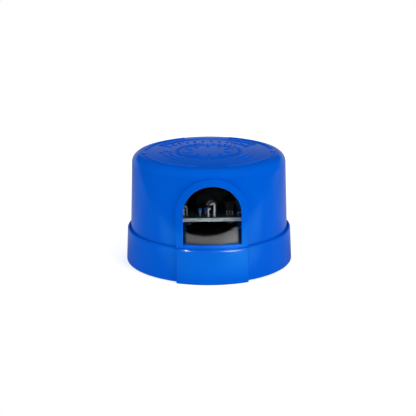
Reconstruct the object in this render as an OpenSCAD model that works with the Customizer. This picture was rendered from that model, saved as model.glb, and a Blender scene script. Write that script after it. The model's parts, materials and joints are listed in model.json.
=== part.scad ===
// Twist-lock photocell switch: a drafted cover with an arched window over a light-sensing
// circuit board, closed from below by a base plate that carries three locking blades.
// Millimetres. +Z is up, the origin lies on the cover's axis in the plane of its rim,
// and the window faces -Y.

/* [Cover] */
// Outside diameter of the skirt at its rim
skirt_d = 84; // [81:0.5:92]
// Height of the skirt
skirt_h = 17.1; // [16.6:0.1:19]
// Draft of the skirt on the radius
skirt_draft = 0.7; // [0.2:0.1:1]
// Step from the top of the skirt in to the dome
skirt_step = 1.7; // [1.2:0.1:2.2]
// Height of the dome's upper edge above the rim
dome_h = 54.9; // [54:0.1:64]
// Draft of the dome on the radius
dome_draft = 1.1; // [0.3:0.1:1.3]
// Radius of the dome's shoulder
shoulder_r = 4.5; // [3:0.1:5]
// Slope of the crowned top at its edge, in degrees
crown_slope = 2; // [1:0.5:6]
// Wall thickness of the cover
cover_wall = 2.2; // [1.8:0.1:2.5]
// Rounding of the upper edges of the skirt and of the panel
ledge_round = 0.8; // [0.4:0.1:1.1]
// Rounding of the outer edge of the rim
rim_round = 0.4; // [0.2:0.1:0.8]
// Width of the groove round the foot of the dome and of the window frame
foot_groove_w = 0.6; // [0.3:0.1:0.8]
// Depth of that groove below the top of the skirt
foot_groove_depth = 0.7; // [0.3:0.1:1]

/* [Window] */
// Width of the raised window frame and of the panel below it
frame_w = 34.8; // [33:0.2:37]
// How far the frame stands out from the dome
frame_proud = 1.9; // [1.5:0.1:2.4]
// How far the panel stands out from the skirt
panel_proud = 2.3; // [1.4:0.1:2.8]
// Distance from the dome's upper edge down to the top of the frame's arch
frame_drop = 3.9; // [3:0.1:5]
// Width of the window opening
window_w = 28; // [26:0.2:29]
// Height of the window's sill above the skirt
sill_rise = 1.5; // [1.3:0.1:2.4]
// Thickness of the lens
lens_t = 1.6; // [1.2:0.1:1.8]
// How far the lens reaches past the opening on each side
lens_lap = 1.4; // [1:0.1:1.6]
// Gap around the lens in its pocket
lens_gap = 0.1; // [0.05:0.05:0.2]

/* [Raised ring on the top] */
// Radius of the raised ring
ridge_r = 32.2; // [28:0.2:33]
// Width of the raised ring
ridge_w = 1.1; // [0.6:0.1:1.6]
// Height of the raised ring above the crown
ridge_h = 0.5; // [0.3:0.1:0.8]
// Angle of the gap at the front of the ring, in degrees
ridge_front_gap = 26; // [16:1:50]
// Angle of the gap at the back of the ring, in degrees
ridge_back_gap = 42; // [16:1:50]
// Angle of the gaps at the sides of the ring, in degrees
ridge_side_gap = 20; // [12:1:30]
// Diameter of the round dots between the arcs
dot_d = 2.4; // [1.6:0.1:2.6]
// Angle by which the dots stand forward of the sides, in degrees
dot_turn = 4; // [0:1:5]

/* [Base plate] */
// Clearance between the base plate and the cover
base_gap = 0.3; // [0.2:0.05:0.5]
// Thickness of the flange that seats in the cover
flange_t = 3; // [2:0.1:3.6]
// Width of the flange ring outside the gasket's recess
flange_w = 4.6; // [4:0.1:6]
// Height of the floor above the flange's seat
floor_rise = 3.2; // [2.8:0.1:3.6]
// Thickness of the floor
floor_t = 2.8; // [2:0.1:3.2]
// Width of the rib that stands inside the gasket
rib_w = 1.6; // [1.2:0.1:2]
// Height of that rib
rib_h = 2.2; // [1.6:0.1:3]
// Number of snap nubs that hold the flange
nub_count = 6; // [3:3:6]
// Angle covered by one snap nub, in degrees
nub_span = 12; // [8:1:16]
// How far a snap nub reaches under the flange
nub_reach = 0.7; // [0.5:0.1:1]
// Height of a snap nub
nub_h = 1.8; // [1.4:0.1:2.4]

/* [Gasket] */
// Thickness of the foam gasket
gasket_t = 4.2; // [3.4:0.1:5]
// Width of the gasket's ring
gasket_w = 9; // [7:0.5:10]
// Clearance between the gasket and its recess
gasket_gap = 0.3; // [0.2:0.05:0.5]

/* [Blades] */
// Radius of the circle on which the blades stand
blade_ring_r = 17; // [16.4:0.1:18]
// Thickness of the blade strip
blade_t = 1.6; // [1.2:0.1:1.8]
// Width of the line and load blades
blade_w = 8; // [7:0.1:9]
// Width of the neutral blade
neutral_w = 10.4; // [9.6:0.1:12]
// Width of the locking toe at the foot of a blade
toe_w = 2.8; // [2:0.1:3.4]
// Height of the locking toe
toe_h = 5; // [4:0.1:6]
// Bevel of the corners at a blade's tip
tip_bevel = 0.8; // [0.4:0.1:1.2]
// Distance from the rim's plane up to the blades' tips
tip_z = 0.6; // [0.3:0.1:2]
// Width of the neck that passes through the base plate
neck_w = 5; // [4:0.1:6]
// Clearance round the neck in its slot
slot_gap = 0.15; // [0.1:0.05:0.25]
// Radius at which the solder tail of a blade stands
tail_r = 8; // [7.6:0.1:9]
// Width of the solder tail
tail_w = 2.6; // [2:0.1:3]
// Length of a solder tail above the board
tail_proud = 1.2; // [0.8:0.1:1.6]
// Diameter of the rivet's shank
rivet_d = 2.8; // [2.4:0.1:3]
// Diameter of the rivet's heads
rivet_head_d = 4.8; // [4.2:0.1:5.2]
// Height of the rivet's heads
rivet_head_h = 0.9; // [0.7:0.1:1.1]
// Clearance round a rivet or a screw in its hole
hole_gap = 0.05; // [0.02:0.01:0.1]

/* [Circuit board] */
// Thickness of the circuit board
board_t = 1.7; // [1:0.1:2]
// Clearance between the board and the cover
board_gap = 0.7; // [0.5:0.1:1.2]
// How far the board's round edge is cut back flat behind the window
board_trim = 3.7; // [3.2:0.1:4.2]
// Height of the board's underside above the floor
post_h = 10.4; // [9.8:0.1:12]
// Diameter of the posts that carry the board
post_d = 6.4; // [5.6:0.1:7]
// Diameter of the posts' feet
post_foot_d = 8.4; // [7:0.1:9]
// Radius of the circle on which the posts stand
post_ring_r = 30.2; // [29.4:0.1:30.6]
// Diameter of the screws' shank
screw_d = 2.4; // [2:0.1:2.8]
// Length of the screws' shank
screw_l = 9; // [6:0.5:10]
// Diameter of the screws' heads
screw_head_d = 5; // [4.4:0.1:5.4]
// Height of the screws' heads
screw_head_h = 1.8; // [1.4:0.1:2.2]
// Diameter of the component leads
lead_d = 0.6; // [0.5:0.05:0.7]
// Clearance round a lead in its hole
lead_gap = 0.12; // [0.08:0.02:0.2]
// Length of the leads below the board
lead_stub = 1.2; // [0.8:0.1:2]
// Radius of the bends in the leads
lead_bend = 0.8; // [0.6:0.1:1]

/* [Light sensor] */
// Diameter of the clear sensor body
sensor_d = 4.8; // [4.4:0.1:5.2]
// Height of the sensor body
sensor_h = 8.1; // [7:0.1:8.6]
// Diameter of the flange at the sensor's foot
sensor_flange_d = 5.6; // [5.4:0.1:5.8]
// Thickness of that flange
sensor_flange_t = 0.9; // [0.6:0.1:1.2]
// Distance of the sensor's axis behind the board's front edge
sensor_back = 3.4; // [3:0.1:3.8]
// Spacing of the sensor's leads
sensor_pitch = 2; // [1.9:0.1:2.3]
// Height of the chip's cup above the board
cup_rise = 4.2; // [3.6:0.1:4.6]
// Height of the curled post above the board
curl_rise = 6.4; // [5.8:0.1:6.6]
// Radius of that curl
curl_r = 0.55; // [0.5:0.05:0.65]

/* [Relay] */
// Length of the relay's case across the board
relay_l = 29; // [26:0.5:30]
// Depth of the relay's case
relay_w = 12.7; // [11.7:0.1:12.9]
// Height of the relay's case
relay_h = 15.7; // [12:0.1:17]
// Position of the relay's middle across the board
relay_x = 8; // [7:0.5:8.5]
// Distance of the relay's middle behind the board's front edge
relay_back = 15.2; // [14.8:0.1:15.6]
// Height of the rails under the relay's case
relay_foot = 0.5; // [0.3:0.1:0.8]

/* [Film capacitor] */
// Length of the film capacitor
film_l = 26; // [22:0.5:27]
// Width of the film capacitor
film_w = 8.5; // [7:0.1:9]
// Height of the film capacitor
film_h = 15; // [12:0.5:17]
// Spacing of the film capacitor's leads
film_pitch = 22.5; // [15:0.5:22.5]

/* [Electrolytic capacitor] */
// Diameter of the can
can_d = 12.5; // [10:0.5:13]
// Height of the can
can_h = 17; // [12:0.5:18]
// Spacing of the can's leads
can_pitch = 5; // [3.5:0.5:6]

/* [Surge varistor] */
// Diameter of the varistor's disc
varistor_d = 15.5; // [12:0.5:16]
// Thickness of the varistor's disc
varistor_t = 4.6; // [3.6:0.1:5]
// Spacing of the varistor's leads
varistor_pitch = 7.5; // [5:0.5:8]
// Height of the varistor's lower edge above the board
varistor_lift = 1.6; // [1:0.1:2]

/* [Ceramic capacitors] */
// Diameter of a dipped ceramic capacitor
bead_d = 2.3; // [2:0.1:2.6]
// Thickness of a dipped ceramic capacitor
bead_t = 1.7; // [1.4:0.1:2]
// Height of its lower edge above the board
bead_lift = 1.3; // [0.8:0.1:2]
// How much lower the second one stands
bead_drop = 0.5; // [0:0.1:0.6]

/* [Axial parts] */
// Diameter of the small resistors at their ends
resistor_d = 2.4; // [2:0.1:2.6]
// Length of the small resistors
resistor_l = 6.3; // [5.5:0.1:6.5]
// Diameter of the upright resistor
upright_d = 1.7; // [1.5:0.1:1.8]
// Length of the upright resistor
upright_l = 3.2; // [2.8:0.1:3.6]
// Height of its hairpin above its body
hairpin_rise = 0.4; // [0.3:0.1:1]
// Radius of that hairpin
hairpin_r = 0.9; // [0.85:0.05:1.2]
// Diameter of the dropping resistor
dropper_d = 4; // [3:0.1:4.4]
// Length of the dropping resistor
dropper_l = 11; // [9:0.5:11.5]
// Diameter of the rectifier diodes
diode_d = 2.7; // [2.2:0.1:2.8]
// Length of the rectifier diodes
diode_l = 5.2; // [4.2:0.1:5.6]
// Diameter of the signal diode
glass_d = 1.8; // [1.4:0.1:2]
// Length of the signal diode
glass_l = 3.8; // [3:0.1:4.2]
// Gap between a lying part and the board
axial_gap = 0.3; // [0.1:0.1:0.6]

/* [Transistor] */
// Diameter of the transistor's round back
transistor_d = 4.7; // [4.2:0.1:5]
// Height of the transistor's body
transistor_h = 4.6; // [4.2:0.1:5]
// Height of the transistor's body above the board
transistor_lift = 2.5; // [2:0.1:3]
// Spacing of the transistor's leads
transistor_pitch = 1.27; // [1.2:0.01:1.4]

/* [Hidden] */
$fn = 96;

// How far a cutting solid runs past the face that it cuts
cut = 1;
// Half angle of a full turn, and a quarter turn
half_turn = 180;
quarter_turn = 90;
// Direction of the window
front_angle = 270;

// Colours
cover_blue = [0.0, 0.36, 0.86];
lens_clear = [0.85, 0.92, 0.95, 0.25];
base_black = [0.07, 0.07, 0.08];
gasket_black = [0.09, 0.09, 0.10];
brass_yellow = [0.80, 0.66, 0.33];
board_green = [0.16, 0.30, 0.22];
steel_grey = [0.72, 0.73, 0.75];
epoxy_clear = [0.90, 0.94, 0.96, 0.35];
case_black = [0.05, 0.05, 0.06];
film_yellow = [0.88, 0.66, 0.16];
sleeve_black = [0.08, 0.08, 0.12];
varistor_blue = [0.10, 0.22, 0.50];
bead_blue = [0.10, 0.42, 0.72];
resistor_tan = [0.78, 0.66, 0.46];
dropper_green = [0.40, 0.50, 0.46];
glass_orange = [0.80, 0.45, 0.20];

// Cover: radii and heights
skirt_r = skirt_d / 2;
skirt_top_r = skirt_r - skirt_draft;
skirt_in_r = skirt_top_r - cover_wall;
dome_low_r = skirt_top_r - skirt_step;
dome_top_r = dome_low_r - dome_draft;
shoulder_z = dome_h - shoulder_r;
seat_z = skirt_h - cover_wall;
sill_z = skirt_h + sill_rise;
frame_half = frame_w / 2;
frame_foot_r = dome_low_r + frame_proud;
window_half = window_w / 2;
lens_half = window_half + lens_lap;
pocket_half = lens_half + lens_gap;
arch_z = dome_h - frame_drop - frame_half;
panel_r = skirt_r + panel_proud;
panel_top_r = panel_r - skirt_draft;
lens_offset = frame_proud - cover_wall;
shoulder_steps = 10;
crown_steps = 10;
round_steps = 5;

// Crown: the sphere that meets the shoulder at the crown's slope
crown_edge_r = dome_top_r - shoulder_r + shoulder_r * sin(crown_slope);
crown_edge_z = shoulder_z + shoulder_r * cos(crown_slope);
crown_r = crown_edge_r / sin(crown_slope);
crown_centre_z = crown_edge_z - crown_r * cos(crown_slope);

// Base plate: radii and heights
flange_r = skirt_in_r - base_gap;
flange_under = seat_z - flange_t;
spigot_r = dome_low_r - cover_wall - base_gap;
recess_r = flange_r - flange_w;
floor_top = seat_z + floor_rise;
floor_under = floor_top - floor_t;
gasket_out_r = recess_r - gasket_gap;
gasket_in_r = gasket_out_r - gasket_w;
rib_r = gasket_in_r - gasket_gap;

// Blades: directions seen from above, and levels
neutral_angle = 90;
line_angle = 210;
load_angle = 330;
blade_angles = [neutral_angle, line_angle, load_angle];
foot_top = floor_top + blade_t;
rivet_ring_r = (tail_r + blade_ring_r) / 2;
slot_half = neck_w / 2 + slot_gap;
slot_outline = [
    [-slot_half, floor_under - cut], [slot_half, floor_under - cut],
    [slot_half, floor_top + cut], [-slot_half, floor_top + cut]
];

// Circuit board: radius, front edge and levels
board_r = dome_top_r - cover_wall - board_gap + dome_draft / 2;
board_front = board_r - board_trim;
board_under = floor_top + post_h;
board_top = board_under + board_t;
post_angles = [90, 200, 340];
lead_r = lead_d / 2;
lead_hole_r = lead_r + lead_gap;
lead_low = board_under - lead_stub;
screw_depth = screw_l - board_t + cut;

// Places of the parts on the board
sensor_at = [0, sensor_back - board_front];
relay_at = [relay_x, relay_back - board_front];
film_at = [18.6, 7];
can_at = [-17.5, 0];
varistor_at = [0, 20];
bead_places = [
    [-5.4, 5.1 - board_front, bead_lift],
    [-2.5, 6.9 - board_front, bead_lift - bead_drop]
];
upright_at = [-13.5, 5 - board_front];
small_at = [-23, -15];
dropper_at = [-14.5, 15];
diode_places = [[14, 25, 0], [-14, 25, 0], [-26.6, 8, quarter_turn]];
glass_at = [16.4, 5 - board_front];
transistor_at = [8.8, 5.2 - board_front];

// Spacings of the leads of the axial parts
small_pitch = resistor_l + 4;
dropper_pitch = dropper_l + 4;
diode_pitch = diode_l + 4;
glass_pitch = glass_l + 3.6;
bead_pitch = 2.5;
cup_r = 0.65;
cup_h = 1;
cup_shift = 0.3;
relay_margin = 2.2;
relay_pin_places = [
    for (sx = [-1, 1], sy = [-1, 1])
        [sx * (relay_l / 2 - relay_margin), sy * (relay_w / 2 - relay_margin)]
];
relay_pin_d = 1;
relay_rail_w = 1.2;
film_foot = 0.5;
film_foot_l = 3;

// Points along an arc from one angle to another
function arc_points(centre, r, from, to, steps) = [
    for (i = [0 : steps])
        let (a = from + (to - from) * i / steps)
            [centre[0] + r * cos(a), centre[1] + r * sin(a)]
];

// Radius of the drafted dome at a height
function dome_r(z) = dome_low_r - dome_draft * (z - skirt_h) / (shoulder_z - skirt_h);

// Height of the crowned top at a radius
function crown_z(r) = crown_centre_z + sqrt(crown_r * crown_r - r * r);

// Half profile of the dome from a height up to the axis, set in by a wall
function dome_points(inset, from_z) = concat(
    [[dome_r(from_z) - inset, from_z]],
    arc_points([dome_top_r - shoulder_r, shoulder_z], shoulder_r - inset,
        0, quarter_turn - crown_slope, shoulder_steps),
    [
        for (i = [1 : crown_steps])
            let (a = crown_slope * (1 - i / crown_steps))
                [(crown_r - inset) * sin(a), crown_centre_z + (crown_r - inset) * cos(a)]
    ]
);

// Half profile of a drafted ring wall with a rounded rim and a rounded upper edge
function ledge_points(low_r, top_r) = concat(
    [[0, 0]],
    arc_points([low_r - rim_round, rim_round], rim_round, -quarter_turn, 0, round_steps),
    arc_points([top_r - ledge_round, skirt_h - ledge_round], ledge_round,
        0, quarter_turn, round_steps)
);

// Places of two leads about a point, along X or along Y
function pair_x(at, pitch) = [for (s = [-1, 1]) [at[0] + s * pitch / 2, at[1]]];
function pair_y(at, pitch) = [for (s = [-1, 1]) [at[0], at[1] + s * pitch / 2]];

// Places of the leads in the board
sensor_holes = pair_x(sensor_at, sensor_pitch);
relay_holes = [for (p = relay_pin_places) relay_at + p];
film_holes = pair_y(film_at, film_pitch);
can_holes = pair_x(can_at, can_pitch);
varistor_holes = pair_x(varistor_at, varistor_pitch);
bead_holes = [for (at = bead_places) each pair_y(at, bead_pitch)];
upright_holes = [upright_at, upright_at + [2 * hairpin_r, 0]];
small_holes = pair_y(small_at, small_pitch);
dropper_holes = pair_x(dropper_at, dropper_pitch);
diode_holes = [
    for (d = diode_places)
        each d[2] == 0 ? pair_x(d, diode_pitch) : pair_y(d, diode_pitch)
];
glass_holes = pair_x(glass_at, glass_pitch);
transistor_holes = [
    for (i = [-1 : 1])
        transistor_at + [i * transistor_pitch, 0]
];
lead_holes = concat(
    sensor_holes, film_holes, can_holes, varistor_holes, bead_holes, upright_holes,
    small_holes, dropper_holes, diode_holes, glass_holes, transistor_holes
);

// A piece of a ring about the axis, centred on an angle
module ring_piece(r_in, r_out, z_low, z_high, angle, span) {
    rotate([0, 0, angle - span / 2])
        rotate_extrude(angle = span)
            translate([r_in, z_low])
                square([r_out - r_in, z_high - z_low]);
}

// An arch-shaped prism that runs from the axis out through the front of the cover
module arch_prism(half_w, z_low) {
    rotate([quarter_turn, 0, 0])
        linear_extrude(height = panel_r + cut)
            intersection() {
                union() {
                    translate([-half_w, z_low])
                        square([2 * half_w, arch_z - z_low]);
                    translate([0, arch_z])
                        circle(r = half_w);
                }
                translate([-half_w - cut, z_low])
                    square([2 * (half_w + cut), arch_z - z_low + half_w + cut]);
            }
}

// A cone parallel to the dome, set out from it
module drafted_core(offset_r) {
    cylinder(r1 = dome_r(0) + offset_r, r2 = dome_r(dome_h) + offset_r, h = dome_h);
}

// A block in front of the axis that bounds the panel's width
module front_block(half_w, z_low, z_high) {
    translate([-half_w, -panel_r - cut, z_low])
        cube([2 * half_w, panel_r + cut, z_high - z_low]);
}

// Straight lead between two heights
module lead(at, z_low, z_high, r = lead_r) {
    translate([at[0], at[1], z_low])
        cylinder(r = r, h = z_high - z_low);
}

// Straight leads that come up through the board to a component
module leads(places, z_high, r = lead_r) {
    for (at = places)
        lead(at, lead_low, z_high, r);
}

// Both leads of a part that lies along X with its axis at a height
module axial_leads(length, pitch, axis_z) {
    for (side = [0, 1])
        mirror([side, 0, 0]) {
            translate([length / 2, 0, axis_z])
                rotate([0, quarter_turn, 0])
                    cylinder(r = lead_r, h = pitch / 2 - lead_bend - length / 2);
            translate([pitch / 2 - lead_bend, 0, axis_z - lead_bend])
                rotate([quarter_turn, 0, 0])
                    rotate_extrude(angle = quarter_turn)
                        translate([lead_bend, 0])
                            circle(r = lead_r);
            lead([pitch / 2, 0], lead_low, axis_z - lead_bend);
        }
}

// Places a part that lies along X at a spot on the board, turned about the upright
module lying(at, turn = 0) {
    translate([at[0], at[1], 0])
        rotate([0, 0, turn])
            children();
}

// A round body that lies along X with its axis at a height
module lying_body(d, length, axis_z) {
    translate([-length / 2, 0, axis_z])
        rotate([0, quarter_turn, 0])
            cylinder(d = d, h = length);
}

// Half profile of a resistor with thicker ends
function resistor_points(d, length) =
    let (end_l = length / 4, neck = d * 0.42, tip = d * 0.36)
        [
            [0, 0], [tip, 0], [d / 2, end_l / 3], [d / 2, end_l], [neck, end_l * 1.4],
            [neck, length - end_l * 1.4], [d / 2, length - end_l],
            [d / 2, length - end_l / 3], [tip, length], [0, length]
        ];

// A disc on edge with rounded edges, its axis along an angle and its centre at the origin
module dipped_disc(d, t) {
    rotate([quarter_turn, 0, 0])
        rotate_extrude()
            intersection() {
                union() {
                    translate([0, -t / 2])
                        square([d / 2 - t / 2, t]);
                    translate([d / 2 - t / 2, 0])
                        circle(d = t);
                }
                translate([0, -t])
                    square([d, 2 * t]);
            }
}

// Outline of a blade unrolled: tongue with a locking toe and bevelled corners, and the neck
function blade_outline(width) = [
    [-width / 2 - toe_w + tip_bevel, tip_z], [width / 2 - tip_bevel, tip_z],
    [width / 2, tip_z + tip_bevel], [width / 2, floor_under],
    [neck_w / 2, floor_under], [neck_w / 2, foot_top],
    [-neck_w / 2, foot_top], [-neck_w / 2, floor_under],
    [-width / 2, floor_under], [-width / 2, tip_z + toe_h],
    [-width / 2 - toe_w, tip_z + toe_h], [-width / 2 - toe_w, tip_z + tip_bevel]
];

// A strip bent round the axis, cut to an outline that faces +X
module curved_strip(r_in, r_out, z_low, z_high, outline) {
    intersection() {
        difference() {
            lead([0, 0], z_low, z_high, r_out);
            lead([0, 0], z_low - cut, z_high + cut, r_in);
        }
        rotate([quarter_turn, 0, quarter_turn])
            linear_extrude(height = r_out + cut)
                polygon(outline);
    }
}

// One locking blade: curved strip, foot on the base plate's floor and solder tail
module blade(width, angle) {
    rotate([0, 0, angle])
        difference() {
            union() {
                curved_strip(blade_ring_r - blade_t / 2, blade_ring_r + blade_t / 2,
                    tip_z, foot_top, blade_outline(width));
                translate([tail_r - blade_t / 2, -neck_w / 2, floor_top])
                    cube([blade_ring_r - tail_r + blade_t / 2, neck_w, blade_t]);
                translate([tail_r - blade_t / 2, -tail_w / 2, floor_top])
                    cube([blade_t, tail_w, board_top + tail_proud - floor_top]);
            }
            lead([rivet_ring_r, 0], floor_top - cut, foot_top + cut, rivet_d / 2 + hole_gap);
        }
}

// Cover: skirt, dome, raised window frame and panel, hollow inside, with snap nubs
module cover() {
    color(cover_blue)
        union() {
            difference() {
                union() {
                    rotate_extrude()
                        polygon(concat(ledge_points(skirt_r, skirt_top_r), [
                            [dome_low_r + foot_groove_w, skirt_h],
                            [dome_low_r + foot_groove_w, skirt_h - foot_groove_depth],
                            [dome_low_r, skirt_h - foot_groove_depth]
                        ], dome_points(0, skirt_h)));
                    intersection() {
                        arch_prism(frame_half, seat_z);
                        drafted_core(frame_proud);
                    }
                    intersection() {
                        rotate_extrude()
                            polygon(concat(ledge_points(panel_r, panel_top_r), [
                                [frame_foot_r + foot_groove_w, skirt_h],
                                [frame_foot_r + foot_groove_w, skirt_h - foot_groove_depth],
                                [0, skirt_h - foot_groove_depth]
                            ]));
                        front_block(frame_half, 0, skirt_h);
                    }
                    top_ring();
                }
                rotate_extrude()
                    polygon(concat([[0, -cut], [skirt_in_r, -cut], [skirt_in_r, seat_z]],
                        dome_points(cover_wall, seat_z)));
                intersection() {
                    rotate_extrude()
                        translate([0, -cut])
                            square([panel_top_r - cover_wall, seat_z + cut]);
                    front_block(frame_half - cover_wall, -cut, seat_z);
                }
                intersection() {
                    arch_prism(pocket_half, sill_z - lens_lap - lens_gap);
                    drafted_core(lens_offset);
                }
                arch_prism(window_half, sill_z);
            }
            snap_nubs();
        }
}

// Four raised arcs and two dots on the crowned top
module top_ring() {
    ring_low = crown_z(ridge_r) - cover_wall / 2;
    ring_top = crown_z(ridge_r) + ridge_h;
    for (side = [0, 1])
        mirror([side, 0, 0]) {
            ridge_arc(ring_low, ring_top, ridge_side_gap / 2, quarter_turn - ridge_back_gap / 2);
            ridge_arc(ring_low, ring_top, ridge_front_gap / 2 - quarter_turn, -ridge_side_gap / 2);
        }
    for (side = [-1, 1])
        lead([side * ridge_r * cos(dot_turn), -ridge_r * sin(dot_turn)],
            ring_low, ring_top, dot_d / 2);
}

// One arc of the raised ring between two angles
module ridge_arc(z_low, z_high, from, to) {
    ring_piece(ridge_r - ridge_w / 2, ridge_r + ridge_w / 2, z_low, z_high,
        (from + to) / 2, to - from);
}

// Wedges inside the skirt that the flange snaps past
module snap_nubs() {
    for (i = [0 : nub_count - 1])
        rotate([0, 0, 2 * half_turn * i / nub_count - nub_span / 2])
            rotate_extrude(angle = nub_span)
                polygon([
                    [skirt_in_r + cover_wall / 2, flange_under - nub_h],
                    [skirt_in_r, flange_under - nub_h],
                    [skirt_in_r - nub_reach, flange_under - nub_h / 3],
                    [skirt_in_r - nub_reach, flange_under],
                    [skirt_in_r + cover_wall / 2, flange_under]
                ]);
}

// Lens: a clear curved plate with an arched top, in the pocket behind the frame
module window_lens() {
    color(lens_clear)
        difference() {
            intersection() {
                arch_prism(lens_half, sill_z - lens_lap);
                drafted_core(lens_offset - lens_gap);
            }
            drafted_core(lens_offset - lens_gap - lens_t);
        }
}

// Base plate: snapped flange, flat floor, gasket rib, board posts and slots for the blades
module base_plate() {
    color(base_black)
        difference() {
            union() {
                rotate_extrude()
                    polygon([
                        [0, floor_under], [rib_r - rib_w, floor_under],
                        [rib_r - rib_w, floor_under - rib_h], [rib_r, floor_under - rib_h],
                        [rib_r, floor_under], [recess_r, floor_under],
                        [recess_r, flange_under], [flange_r, flange_under],
                        [flange_r, seat_z], [spigot_r, seat_z],
                        [spigot_r, floor_top], [0, floor_top]
                    ]);
                for (a = post_angles)
                    rotate([0, 0, a])
                        translate([post_ring_r, 0, floor_top - floor_t / 2]) {
                            cylinder(d = post_d, h = post_h + floor_t / 2);
                            cylinder(d1 = post_foot_d, d2 = post_d, h = post_h / 2);
                        }
            }
            for (a = blade_angles) {
                rotate([0, 0, a]) {
                    curved_strip(blade_ring_r - blade_t / 2 - slot_gap,
                        blade_ring_r + blade_t / 2 + slot_gap,
                        floor_under - cut, floor_top + cut, slot_outline);
                    lead([rivet_ring_r, 0], floor_under - cut, floor_top + cut,
                        rivet_d / 2 + hole_gap);
                }
            }
            for (a = post_angles)
                rotate([0, 0, a])
                    lead([post_ring_r, 0], board_under - screw_depth, board_under + cut,
                        screw_d / 2 + hole_gap);
        }
}

// Foam gasket in the recess under the floor
module gasket() {
    color(gasket_black)
        rotate_extrude()
            translate([gasket_in_r, floor_under - gasket_t])
                square([gasket_w, gasket_t]);
}

module line_blade() {
    color(brass_yellow)
        blade(blade_w, line_angle);
}

module load_blade() {
    color(brass_yellow)
        blade(blade_w, load_angle);
}

module neutral_blade() {
    color(brass_yellow)
        blade(neutral_w, neutral_angle);
}

// One rivet through each blade's foot and the base plate's floor
module blade_rivets() {
    color(steel_grey)
        for (a = blade_angles)
            rotate([0, 0, a])
                translate([rivet_ring_r, 0, 0]) {
                    lead([0, 0], floor_under - rivet_head_h, floor_under, rivet_head_d / 2);
                    lead([0, 0], floor_under - rivet_head_h, foot_top + rivet_head_h, rivet_d / 2);
                    lead([0, 0], foot_top, foot_top + rivet_head_h, rivet_head_d / 2);
                }
}

// Circuit board: a round board cut flat behind the window, drilled for its parts
module circuit_board() {
    color(board_green)
        difference() {
            lead([0, 0], board_under, board_top, board_r);
            translate([-board_r, -board_front - board_r, board_under - cut])
                cube([2 * board_r, board_r, board_t + 2 * cut]);
            for (at = lead_holes)
                lead(at, board_under - cut, board_top + cut, lead_hole_r);
            for (at = relay_holes)
                lead(at, board_under - cut, board_top + cut, relay_pin_d / 2 + lead_gap);
            for (a = blade_angles)
                rotate([0, 0, a])
                    translate([tail_r - blade_t / 2 - slot_gap, -tail_w / 2 - slot_gap,
                        board_under - cut])
                        cube([blade_t + 2 * slot_gap, tail_w + 2 * slot_gap, board_t + 2 * cut]);
            for (a = post_angles)
                rotate([0, 0, a])
                    lead([post_ring_r, 0], board_under - cut, board_top + cut,
                        screw_d / 2 + lead_gap);
        }
}

// Screws that hold the board on its posts
module board_screws() {
    color(steel_grey)
        for (a = post_angles)
            rotate([0, 0, a]) {
                lead([post_ring_r, 0], board_top - screw_l, board_top + screw_head_h, screw_d / 2);
                lead([post_ring_r, 0], board_top, board_top + screw_head_h, screw_head_d / 2);
            }
}

// Clear sensor body, moulded round its lead frame
module sensor_body() {
    color(epoxy_clear)
        difference() {
            translate([sensor_at[0], sensor_at[1], board_top]) {
                cylinder(d = sensor_flange_d, h = sensor_flange_t);
                cylinder(d = sensor_d, h = sensor_h - sensor_d / 2);
                translate([0, 0, sensor_h - sensor_d / 2])
                    sphere(d = sensor_d);
            }
            sensor_frame();
        }
}

// Two posts inside the sensor body: one carries a cup for the chip, the other ends in a curl
module sensor_frame() {
    cup_z = board_top + cup_rise;
    curl_z = board_top + curl_rise - curl_r - lead_r;
    leads([sensor_holes[0]], cup_z);
    leads([sensor_holes[1]], curl_z);
    difference() {
        translate([sensor_holes[0][0] + cup_shift, sensor_at[1], cup_z - cup_h])
            cylinder(r1 = cup_r - lead_r / 2, r2 = cup_r, h = cup_h);
        translate([sensor_holes[0][0] + cup_shift, sensor_at[1], cup_z - cup_h / 2])
            cylinder(r1 = lead_r / 2, r2 = cup_r - lead_r / 2, h = cup_h / 2 + cut);
    }
    translate([sensor_holes[1][0] - curl_r, sensor_at[1], curl_z])
        rotate([quarter_turn, 0, 0])
            rotate_extrude(angle = half_turn)
                translate([curl_r, 0])
                    circle(r = lead_r);
}

module sensor_leads() {
    color(steel_grey)
        sensor_frame();
}

// Relay case on two rails
module relay_case() {
    color(case_black)
        translate([relay_at[0], relay_at[1], board_top]) {
            translate([-relay_l / 2, -relay_w / 2, relay_foot])
                cube([relay_l, relay_w, relay_h - relay_foot]);
            for (side = [-1, 1])
                translate([side * (relay_l / 2 - relay_rail_w / 2) - relay_rail_w / 2,
                    -relay_w / 2, 0])
                    cube([relay_rail_w, relay_w, relay_h / 2]);
        }
}

module relay_pins() {
    color(steel_grey)
        leads(relay_holes, board_top + relay_foot, relay_pin_d / 2);
}

// Boxed film capacitor on two feet
module film_capacitor() {
    color(film_yellow)
        translate([film_at[0] - film_w / 2, film_at[1] - film_l / 2, board_top])
            difference() {
                cube([film_w, film_l, film_h]);
                translate([-cut, film_foot_l, -cut])
                    cube([film_w + 2 * cut, film_l - 2 * film_foot_l, film_foot + cut]);
            }
}

module film_capacitor_leads() {
    color(steel_grey)
        leads(film_holes, board_top);
}

// Electrolytic can with a crimped groove near its foot
module electrolytic_capacitor() {
    groove_z = can_h / 8;
    groove_r = can_d / 16;
    color(sleeve_black)
        translate([can_at[0], can_at[1], board_top])
            difference() {
                cylinder(d = can_d, h = can_h);
                translate([0, 0, groove_z])
                    rotate_extrude()
                        translate([can_d / 2 + groove_r / 2, 0])
                            circle(r = groove_r);
            }
}

module electrolytic_leads() {
    color(steel_grey)
        leads(can_holes, board_top);
}

// Dipped disc of the surge varistor, standing on its leads
module surge_varistor() {
    color(varistor_blue)
        difference() {
            translate([varistor_at[0], varistor_at[1],
                board_top + varistor_lift + varistor_d / 2])
                dipped_disc(varistor_d, varistor_t);
            varistor_legs();
        }
}

// Legs that end inside the dipped disc
module varistor_legs() {
    leads(varistor_holes, board_top + varistor_lift + varistor_d / 4);
}

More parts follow.
